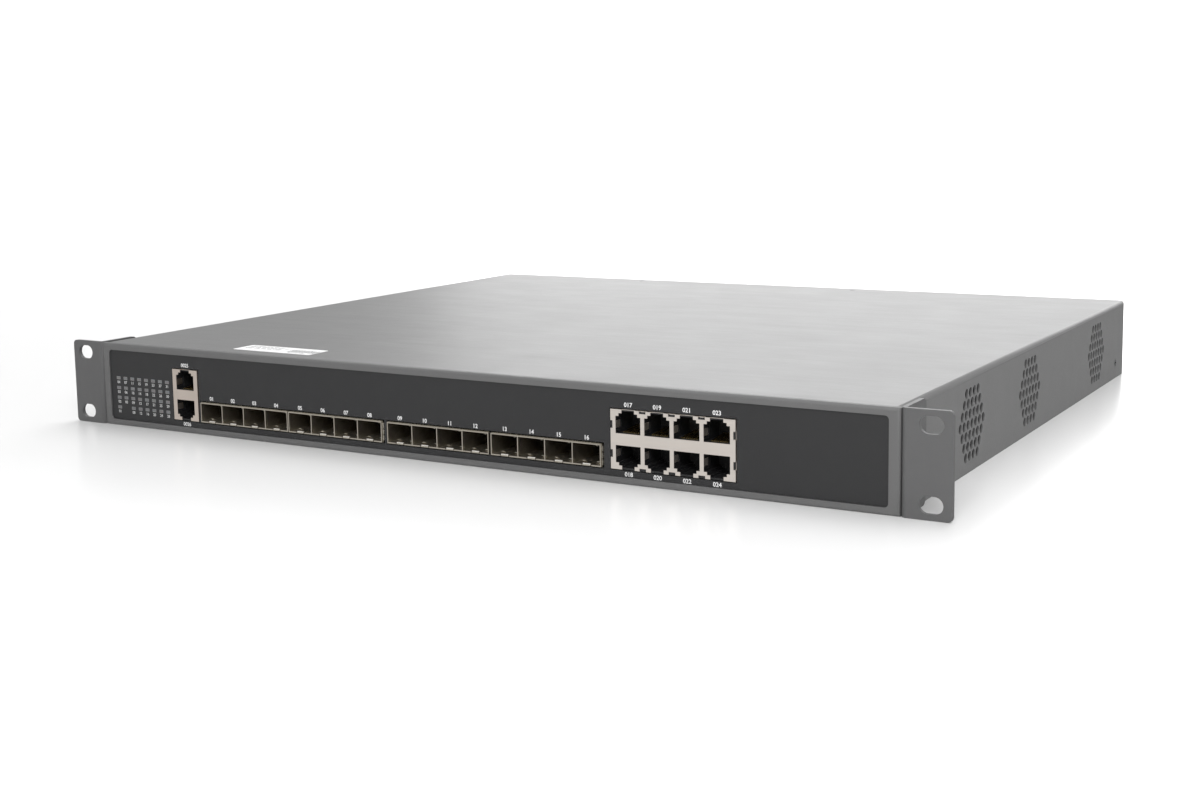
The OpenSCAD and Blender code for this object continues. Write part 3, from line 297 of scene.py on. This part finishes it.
LOOKS = {
    "grey_paint": brushed_coat("grey_paint", (0.145, 0.145, 0.145)),
    "bezel_paint": powder_coat("bezel_paint", (0.128, 0.128, 0.128)),
    "ear_paint": powder_coat("ear_paint", (0.106, 0.106, 0.107)),
    "overlay_film": film("overlay_film", (0.031, 0.031, 0.032)),
    "galvanised_sheet": zinc_sheet("galvanised_sheet", (0.55, 0.56, 0.57)),
    # painted shade: zinc darkened well below the case's own sheet, mainly so that the tray seen through the vent
    # holes reads as the shaded inside
    "painted_shade_tray_sheet": zinc_sheet("painted_shade_tray_sheet", (0.27, 0.275, 0.28), 0.5),
    "supply_sheet": zinc_sheet("supply_sheet", (0.58, 0.59, 0.60), 0.36),
    "light_pipe": milky("light_pipe", (0.2, 0.2, 0.202)),
    "case_screw": plated("case_screw", (0.16, 0.16, 0.165), 0.4, (1.0, 1.0, 0.2)),
    "screw_steel": plated("screw_steel", (0.62, 0.62, 0.63), 0.3, (1.0, 1.0, 0.2)),
    "label_white": paper("label_white", (0.84, 0.84, 0.84)),
    "board_green": solder_mask("board_green", (0.012, 0.085, 0.035)),
    "standoff_brass": plated("standoff_brass", BRASS, 0.3),
    "cage_metal": plated("cage_metal", (0.66, 0.61, 0.52), 0.34, (0.03, 1.0, 1.0), 0.5),
    "spring_metal": plated("spring_metal", (0.66, 0.62, 0.54), 0.26, (1.0, 0.05, 1.0), 0.4),
    # painted highlight: a near-white copy of the cage metal, for glints on the cages' latch lips and tabs
    "painted_glint_metal": plated("painted_glint_metal", (0.98, 0.95, 0.88), 0.45, (1.0, 0.05, 1.0), 0.1),
    "connector_black": moulding("connector_black", (0.012, 0.012, 0.013), 0.42, 0.2 * MM),
    "jack_shield": plated("jack_shield", (0.98, 0.91, 0.84), 0.42, (0.03, 1.0, 1.0), 0.08),
    "console_shield_metal": plated("console_shield_metal", (0.84, 0.74, 0.66), 0.38, (0.03, 1.0, 1.0), 0.2),
    # painted shade: the gold is darker than bare gold, for the shade inside the jacks
    "contact_gold": plated("contact_gold", (0.62, 0.46, 0.2), 0.24, (1.0, 0.05, 1.0), 0.1),
    "led_white": milky("led_white", (0.8, 0.8, 0.76)),
    "chip_black": moulding("chip_black", (0.018, 0.018, 0.02), 0.55, 0.15 * MM),
    "heatsink_aluminium": plated("heatsink_aluminium", (0.62, 0.63, 0.65), 0.34, (1.0, 0.02, 1.0), 0.2),
    "capacitor_can": plated("capacitor_can", (0.52, 0.53, 0.56), 0.3, (1.0, 1.0, 0.05)),
    "inductor_ferrite": moulding("inductor_ferrite", (0.05, 0.05, 0.055), 0.62, 0.4 * MM),
    "header_ivory": moulding("header_ivory", (0.70, 0.66, 0.54), 0.45),
    "fan_black": moulding("fan_black", (0.014, 0.014, 0.015), 0.5),
    "rotor_black": moulding("rotor_black", (0.024, 0.024, 0.026), 0.42),
    "lead_insulation": rubbery("lead_insulation", (0.42, 0.02, 0.015)),
    "backplane_blue": solder_mask("backplane_blue", (0.01, 0.04, 0.11)),
    "harness_yellow": rubbery("harness_yellow", (0.66, 0.44, 0.03)),
    "supply_parts": solder_mask("supply_parts", (0.02, 0.07, 0.03)),
    "inlet_black": moulding("inlet_black", (0.012, 0.012, 0.012), 0.38, 0.4 * MM),
    "rocker_black": moulding("rocker_black", (0.02, 0.02, 0.02), 0.28, 0.5 * MM),
    "handle_chrome": plated("handle_chrome", (0.78, 0.78, 0.79), 0.14, (1.0, 1.0, 0.1), 0.15),
    "thumbscrew_steel": plated("thumbscrew_steel", (0.64, 0.64, 0.65), 0.26, (1.0, 0.1, 1.0)),
    "ground_brass": plated("ground_brass", BRASS, 0.28),
}
WHITE_INK = ink("white_ink", (0.82, 0.82, 0.82))
PALE_INK = ink("pale_ink", (0.22, 0.22, 0.222))
FAINT_INK = ink("faint_ink", (0.58, 0.58, 0.58))
STICKER_INK = ink("sticker_ink", (0.24, 0.24, 0.245))
DARK_INK = ink("dark_ink", (0.05, 0.05, 0.055))

# Each node has the look that its material slot names, but the bezel and case screws are darker, and the tray's
# zinc is darkened as painted shade so that the vent holes read dark
look_of = {part["node"]: part["material_slot"] for part in frame["record"]["subparts"]}
look_of["front_bezel"] = "bezel_paint"
look_of["case_screws"] = "case_screw"
# painted shade: the tray takes the darkened zinc
look_of["chassis_base"] = "painted_shade_tray_sheet"
for node_name, cad_node in nodes.items():
    cad_node.data.materials.clear()
    cad_node.data.materials.append(LOOKS[look_of[node_name]])


# ---------------------------------------------------------------- edges of the CAD nodes

WELD_DISTANCE = 0.001 * MM


def soften(node_name, width):
    """Rounds a CAD node's sharp edges with a Bevel modifier, so that they catch the light."""
    cad_node = nodes[node_name]
    weld = cad_node.modifiers.new("weld", "WELD")
    weld.merge_threshold = WELD_DISTANCE
    bevel = cad_node.modifiers.new("bevel", "BEVEL")
    bevel.width = width
    bevel.segments = 2
    bevel.limit_method = "ANGLE"
    bevel.angle_limit = math.radians(35)
    bevel.harden_normals = True


for sheet_node in ("top_cover", "ear_left", "ear_right"):
    soften(sheet_node, 0.18 * MM)
soften("front_bezel", 0.25 * MM)


# ---------------------------------------------------------------- mesh helpers

FACING_FRONT = Matrix.Rotation(math.radians(90), 4, "X")
FACING_BACK = Matrix.Rotation(math.radians(180), 4, "Z") @ FACING_FRONT
FACING_UP = Matrix.Identity(4)


def islands(node_name):
    """The box of each separate solid in a CAD node, as (low, high), from left to right."""
    mesh = bmesh.new()
    mesh.from_mesh(nodes[node_name].data)
    bmesh.ops.remove_doubles(mesh, verts=mesh.verts, dist=WELD_DISTANCE)
    found = []
    waiting = set(mesh.verts)
    while waiting:
        group = [waiting.pop()]
        for vert in group:
            for edge in vert.link_edges:
                other = edge.other_vert(vert)
                if other in waiting:
                    waiting.remove(other)
                    group.append(other)
        low = Vector(min(vert.co[i] for vert in group) for i in range(3))
        high = Vector(max(vert.co[i] for vert in group) for i in range(3))
        found.append((low, high))
    mesh.free()
    return sorted(found, key=lambda pair: (pair[0].x, pair[0].z))


def add_piece(name, mesh, material, body):
    """Turns a bmesh into a piece that rides on a body."""
    data = bpy.data.meshes.new(name)
    mesh.to_mesh(data)
    mesh.free()
    data.materials.append(material)
    piece = bpy.data.objects.new(name, data)
    collection.objects.link(piece)
    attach(piece, body)


def join(mesh, part):
    """Adds a scratch bmesh to another and frees it."""
    data = bpy.data.meshes.new("scratch")
    part.to_mesh(data)
    part.free()
    mesh.from_mesh(data)
    bpy.data.meshes.remove(data)


def add_block(mesh, low, high, bevel=0.0):
    """A box between two corners, with its edges rounded where a bevel is given."""
    low, high = Vector(low), Vector(high)
    part = bmesh.new()
    bmesh.ops.create_cube(part, size=1.0)
    bmesh.ops.scale(part, vec=high - low, verts=part.verts)
    bmesh.ops.translate(part, vec=(low + high) / 2, verts=part.verts)
    if bevel:
        bmesh.ops.bevel(part, geom=part.edges[:], offset=bevel, segments=2, affect="EDGES", profile=0.5)
    join(mesh, part)


def add_digits(mesh, text, size, place, turn, weight=0.0):
    """Raised digits centred on place; turn faces them the right way, and weight thickens their strokes."""
    curve = bpy.data.curves.new("digits", "FONT")
    curve.body = text
    curve.size = size
    curve.offset = weight
    curve.extrude = 0.01 * MM
    curve.align_x = "CENTER"
    curve.align_y = "CENTER"
    curve.resolution_u = 4
    carrier = bpy.data.objects.new("digits", curve)
    data = bpy.data.meshes.new_from_object(carrier)
    data.transform(Matrix.Translation(place) @ turn)
    mesh.from_mesh(data)
    bpy.data.objects.remove(carrier)
    bpy.data.curves.remove(curve)
    bpy.data.meshes.remove(data)


def circle(radius, turns):
    """Points around a circle, as (across, up) pairs."""
    angles = [2 * math.pi * t / turns for t in range(turns)]
    return [(radius * math.cos(angle), radius * math.sin(angle)) for angle in angles]


# ---------------------------------------------------------------- front print

PRINT_DEPTH = 0.03 * MM
PORT_DIGITS = 2.7 * MM
CONSOLE_DIGITS = 2.6 * MM
WINDOW_DIGITS = 2.0 * MM
CAGE_TO_DIGITS = 2.25 * MM
JACK_TO_DIGITS = 2.1 * MM
WINDOW_TO_DIGITS = 2.3 * MM
WINDOW_WIDTH = 2.7 * MM
WINDOW_HEIGHT = 1.6 * MM
WINDOW_LINE = 0.2 * MM


def front_digits(mesh, text, size, x, z):
    """Digits on the front overlay, in slightly heavy strokes."""
    add_digits(mesh, text, size, (x, print_y - PRINT_DEPTH / 2, z), FACING_FRONT, weight=0.022 * size)


def window_ring(mesh, x, z):
    """A printed frame around one status window."""
    side, top = WINDOW_WIDTH / 2, WINDOW_HEIGHT / 2
    for low_x, high_x, low_z, high_z in (
        (-side, side, top - WINDOW_LINE, top),
        (-side, side, -top, -top + WINDOW_LINE),
        (-side, -side + WINDOW_LINE, -top + WINDOW_LINE, top - WINDOW_LINE),
        (side - WINDOW_LINE, side, -top + WINDOW_LINE, top - WINDOW_LINE),
    ):
        add_block(mesh, (x + low_x, print_y - PRINT_DEPTH, z + low_z), (x + high_x, print_y, z + high_z))


def port_print():
    """White numbers over the cages' ports, and over and under each column of jacks."""
    mesh = bmesh.new()
    cage_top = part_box("sfp_cage_1")[1].z
    cage_ports = islands("sfp_connectors")
    for number, (low, high) in enumerate(cage_ports, 1):
        front_digits(mesh, f"{number:02d}", PORT_DIGITS, (low.x + high.x) / 2, cage_top + CAGE_TO_DIGITS)
    number = len(cage_ports)
    shield_lo, shield_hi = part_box("rj45_shield")
    jack_columns = islands("jack_inserts")[1:]  # the first insert is the console's
    for low, high in jack_columns:
        for z in (shield_hi.z + JACK_TO_DIGITS, shield_lo.z - JACK_TO_DIGITS):
            number += 1
            front_digits(mesh, f"{number:03d}", PORT_DIGITS, (low.x + high.x) / 2, z)
    console_lo, console_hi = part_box("console_shield")
    for z in (console_hi.z + JACK_TO_DIGITS, console_lo.z - JACK_TO_DIGITS):
        number += 1
        front_digits(mesh, f"{number:04d}", CONSOLE_DIGITS, (console_lo.x + console_hi.x) / 2, z)
    add_piece("port_print", mesh, WHITE_INK, "chassis")


def window_print():
    """Grey frames at the status windows, with a brighter number under each."""
    frames, numbers = bmesh.new(), bmesh.new()
    for number, (low, high) in enumerate(islands("status_leds"), 1):
        x, z = (low.x + high.x) / 2, (low.z + high.z) / 2
        window_ring(frames, x, z)
        front_digits(numbers, f"{number:02d}", WINDOW_DIGITS, x, z - WINDOW_TO_DIGITS)
    add_piece("window_frames", frames, PALE_INK, "chassis")
    add_piece("window_numbers", numbers, FAINT_INK, "chassis")


port_print()
window_print()


# ---------------------------------------------------------------- tabs punched in the cages, in a near-white metal that paints their glints

CAGE_WALL = 0.5 * MM
TAB_SHEET = 0.15 * MM
LIP_SHEET = 0.05 * MM
LIP_WIDTH = 3.9 * MM


def bent_tab(mesh, root, tip, width, sheet=TAB_SHEET):
    """A strip of sheet between two points in a yz plane, width along x, with its edges rounded."""
    root, tip = Vector(root), Vector(tip)
    run = tip - root
    strip = bmesh.new()
    add_block(strip, (-width / 2, 0, 0), (width / 2, run.length, sheet), sheet / 4)
    strip.transform(Matrix.Translation(root) @ Matrix.Rotation(math.atan2(run.z, run.y), 4, "X"))
    join(mesh, strip)


def port_tabs(mesh, x, mouth_y, floor_z, roof_z):
    """One port's latch lip, grounding tab at the top and two small springs at the bottom, all in a near-white
    metal that paints their glints; the lip is a thin skin that paints a highlight on the cage's own lip.
    """
    # painted highlight: a thin near-white skin over the sloped face of the latch lip
    lip_root = (x, mouth_y - 0.03 * MM, floor_z + 0.05 * MM)
    lip_tip = (x, mouth_y + 0.37 * MM, floor_z + 0.51 * MM)
    bent_tab(mesh, lip_root, lip_tip, LIP_WIDTH, LIP_SHEET)
    ground_x = x + 3.4 * MM
    ground_root = (ground_x, mouth_y + 5 * MM, roof_z)
    ground_tip = (ground_x, mouth_y + 3.4 * MM, roof_z - 1.1 * MM)
    bent_tab(mesh, ground_root, ground_tip, 1 * MM)
    for spring_x in (x - 3.6 * MM, x + 3.6 * MM):
        spring_root = (spring_x, mouth_y + 6 * MM, floor_z)
        spring_tip = (spring_x, mouth_y + 4.2 * MM, floor_z + 0.8 * MM)
        bent_tab(mesh, spring_root, spring_tip, 1.6 * MM)


def cage_tabs():
    """The tabs in every port of the four cages."""
    mesh = bmesh.new()
    for cage in (1, 2, 3, 4):
        cage_lo, cage_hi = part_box(f"sfp_cage_{cage}")
        for low, high in islands("sfp_connectors"):
            if cage_lo.x < low.x < cage_hi.x:
                port_tabs(mesh, (low.x + high.x) / 2, cage_lo.y, cage_lo.z + CAGE_WALL, cage_hi.z - CAGE_WALL)
    # painted highlight: the tabs take the near-white glint metal
    add_piece("cage_tabs", mesh, LOOKS["painted_glint_metal"], "chassis")


cage_tabs()


# ---------------------------------------------------------------- sticker on the cover

STICKER_PRINT_DEPTH = 0.02 * MM


def word_lines(mesh, left, right, first_y, bottom, top):
    """Four rows of short bars that stand in for words, between left and right."""
    for row in range(4):
        y = first_y - row * 2.2 * MM
        x = left
        for word in range(5 + row % 2):
            length = (2.4 + (word * 7 + row * 5) % 4 * 0.7) * MM
            if x + length > right:
                break
            add_block(mesh, (x, y - 0.4 * MM, bottom), (x + length, y + 0.4 * MM, top))
            x += length + 1.1 * MM


def bar_pattern(mesh, left, low_y, high_y, bottom, top):
    """Twenty-four upright bars in three widths, which follow a simple rule and encode nothing."""
    x = left
    for bar in range(24):
        width = (0.22 + (bar * 5 % 3) * 0.16) * MM
        add_block(mesh, (x, low_y, bottom), (x + width, high_y, top))
        x += width + (0.25 + (bar * 7 % 3) * 0.12) * MM


def sticker_print():
    """Generic printed lines, a bar pattern and numbers on the sticker."""
    mesh = bmesh.new()
    low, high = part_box("top_label")
    bottom, top = high.z, high.z + STICKER_PRINT_DEPTH
    word_lines(mesh, low.x + 3 * MM, low.x + 30 * MM, high.y - 2.6 * MM, bottom, top)
    bar_pattern(mesh, low.x + 32 * MM, low.y + 4 * MM, high.y - 5 * MM, bottom, top)
    add_digits(mesh, "0012 3456 7890", 1.6 * MM, (low.x + 39.5 * MM, low.y + 2.4 * MM, top), FACING_UP)
    add_piece("sticker_print", mesh, STICKER_INK, "chassis")


sticker_print()


# ---------------------------------------------------------------- rear details

PIN_PITCH = 7 * MM
PIN_WIDTH = 2 * MM
PIN_HEIGHT = 4 * MM
PIN_LENGTH = 10 * MM
PIN_SKIN = 0.05 * MM
SOCKET_DEPTH = 16 * MM
SOCKET_FROM_EDGE = 16.5 * MM
ROCKER_CREST = 4.4 * MM
MARK_REACH = 4.6 * MM
MARK_DEPTH = 0.03 * MM
MARK_RADIUS = 1.7 * MM


def inlet_pins(number):
    """Three bright pins over the inlet's own, the middle one higher."""
    inlet_lo, inlet_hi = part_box(f"supply_inlet_{number}")
    middle = (inlet_lo.z + inlet_hi.z) / 2
    socket_x = inlet_lo.x + SOCKET_FROM_EDGE
    root_y = inlet_hi.y - SOCKET_DEPTH
    mesh = bmesh.new()
    for column in (-1, 0, 1):
        x = socket_x + column * PIN_PITCH
        foot = middle if column == 0 else middle - PIN_HEIGHT
        low = (x - PIN_WIDTH / 2 - PIN_SKIN, root_y, foot - PIN_SKIN)
        high = (x + PIN_WIDTH / 2 + PIN_SKIN, root_y + PIN_LENGTH + PIN_SKIN, foot + PIN_HEIGHT + PIN_SKIN)
        add_block(mesh, low, high, 0.5 * MM)
    add_piece(f"inlet_pins_{number}", mesh, LOOKS["screw_steel"], f"supply_{number}")


def ring_bar(mesh, radius, width, depth):
    """A flat ring in the xz plane, from y = 0 to depth."""
    inner, outer = radius - width / 2, radius + width / 2
    turns = 40
    corners = ((inner, 0), (inner, depth), (outer, depth), (outer, 0))
    loops = [[mesh.verts.new((x, y, z)) for x, z in circle(r, turns)] for r, y in corners]
    for first, second in zip(loops, loops[1:] + loops[:1]):
        for t in range(turns):
            after = (t + 1) % turns
            mesh.faces.new((first[t], first[after], second[after], second[t]))
    bmesh.ops.recalc_face_normals(mesh, faces=mesh.faces)


def rocker_marks(number):
    """A bar on the rocker's upper face and a ring on its lower face."""
    hinge = next(joint for joint in frame["joints"] if joint["child"] == f"rocker_body_{number}")
    pivot = Vector(hinge["pos_m"])
    tilt = math.radians(hinge["range_deg"][1] / 2)
    marks = bmesh.new()
    for side in (-1, 1):
        mark = bmesh.new()
        if side > 0:
            add_block(mark, (-0.35 * MM, 0, -MARK_RADIUS), (0.35 * MM, MARK_DEPTH, MARK_RADIUS))
        else:
            ring_bar(mark, MARK_RADIUS, 0.6 * MM, MARK_DEPTH)
        at_rest = Matrix.Translation(pivot) @ Matrix.Rotation(-tilt, 4, "X")
        on_face = Matrix.Translation((0, ROCKER_CREST + MARK_REACH * math.tan(tilt), side * MARK_REACH))
        mark.transform(at_rest @ on_face @ Matrix.Rotation(-side * tilt, 4, "X"))
        join(marks, mark)
    add_piece(f"rocker_marks_{number}", marks, WHITE_INK, f"rocker_body_{number}")


def supply_number(number):
    """The supply's number in the upper corner of its faceplate."""
    mesh = bmesh.new()
    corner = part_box(f"supply_case_{number}")[1]
    place = (corner.x - 5 * MM, corner.y + 0.01 * MM, corner.z - 5.5 * MM)
    add_digits(mesh, str(number), 4 * MM, place, FACING_BACK)
    add_piece(f"supply_number_{number}", mesh, DARK_INK, f"supply_{number}")


for supply in (1, 2):
    inlet_pins(supply)
    rocker_marks(supply)
    supply_number(supply)


# ---------------------------------------------------------------- stage, camera and light

def floor_profile():
    """The floor's section from its middle outwards: flat, then a quarter bend, then the rim's wall."""
    flat, bend, wall, steps = 3.2, 1.4, 2.2, 14
    section = [(0.02, 0.0), (flat / 2, 0.0), (flat, 0.0)]
    for step in range(1, steps + 1):
        angle = math.radians(90) * step / steps
        section.append((flat + bend * math.sin(angle), bend * (1 - math.cos(angle))))
    section.append((flat + bend, bend + wall))
    return section


def floor_look():
    """Pale grey with a slow drift and a faint glow, which stands in for the studio's bounced light."""
    look = Look("floor", specular=0.5)
    look.colour(look.mix(look.remap(look.noise(0.4, 3), 0, 1), (0.865, 0.865, 0.865), (0.875, 0.875, 0.875)))
    look.roughness(0.27)
    look.shader.inputs["Emission Color"].default_value = WHITE
    look.shader.inputs["Emission Strength"].default_value = 0.04
    return look.material


def pale_floor():
    """A round floor that curves up into a rim, the same from every side, hidden from reflections."""
    mesh = bmesh.new()
    turns = 96
    rings = []
    for radius, height in floor_profile():
        rings.append([mesh.verts.new((x, y, height)) for x, y in circle(radius, turns)])
    mesh.faces.new(rings[0])
    for inner, outer in zip(rings, rings[1:]):
        for t in range(turns):
            after = (t + 1) % turns
            mesh.faces.new((inner[t], outer[t], outer[after], inner[after]))
    data = bpy.data.meshes.new("floor")
    mesh.to_mesh(data)
    mesh.free()
    for polygon in data.polygons:
        polygon.use_smooth = True
    data.materials.append(floor_look())
    floor = bpy.data.objects.new("floor", data)
    floor.visible_glossy = False
    collection.objects.link(floor)


def area_light(name, place, aim, size, power):
    """A soft box, seen in reflections but not by the camera."""
    data = bpy.data.lights.new(name, "AREA")
    data.shape = "RECTANGLE"
    data.size, data.size_y = size
    data.energy = power
    light = bpy.data.objects.new(name, data)
    light.location = place
    light.rotation_euler = (Vector(aim) - Vector(place)).to_track_quat("-Z", "Y").to_euler()
    light.visible_camera = False
    collection.objects.link(light)


def studio():
    """An even white world, soft boxes over, behind and beside the case, and one that lights the far rim."""
    world = bpy.data.worlds.new("studio")
    world.use_nodes = True
    background = world.node_tree.nodes["Background"]
    background.inputs["Color"].default_value = WHITE
    background.inputs["Strength"].default_value = 0.55
    bpy.context.scene.world = world
    bpy.context.scene.view_settings.view_transform = "Standard"
    case_middle = (0, 0, 0.02)
    area_light("overhead", (-0.4, 0.7, 2.2), case_middle, (2.4, 2.0), 32)
    area_light("rear_panel", (-0.55, 2.35, 0.6), case_middle, (2.3, 0.9), 20)
    area_light("rear_right", (1.9, 1.6, 1.2), case_middle, (1.6, 1.2), 4)
    area_light("front_right", (0.45, -0.85, 0.55), (0.15, -0.2, 0.02), (0.4, 0.3), 4.5)
    area_light("backdrop", (-1.0, 1.7, 2.4), (-2.3, 3.9, 0.3), (2.4, 1.2), 95)


def photo_camera():
    """The photograph's viewpoint: in front of the right ear, a little above the case."""
    data = bpy.data.cameras.new("camera")
    data.sensor_width = 36.0
    data.lens = 48.2
    data.shift_x = 0.0193
    data.shift_y = -0.0612
    azimuth, elevation, roll = math.radians(31.05), math.radians(7.54), math.radians(-0.99)
    level = math.cos(elevation)
    ahead = Vector((-math.sin(azimuth) * level, math.cos(azimuth) * level, -math.sin(elevation)))
    turn = ahead.to_track_quat("-Z", "Y").to_matrix() @ Matrix.Rotation(roll, 3, "Z")
    camera = bpy.data.objects.new("camera", data)
    camera.location = Vector((0.430, front_y - 0.592, 0.1593))
    camera.rotation_euler = turn.to_euler()
    collection.objects.link(camera)
    bpy.context.scene.camera = camera


pale_floor()
studio()
photo_camera()
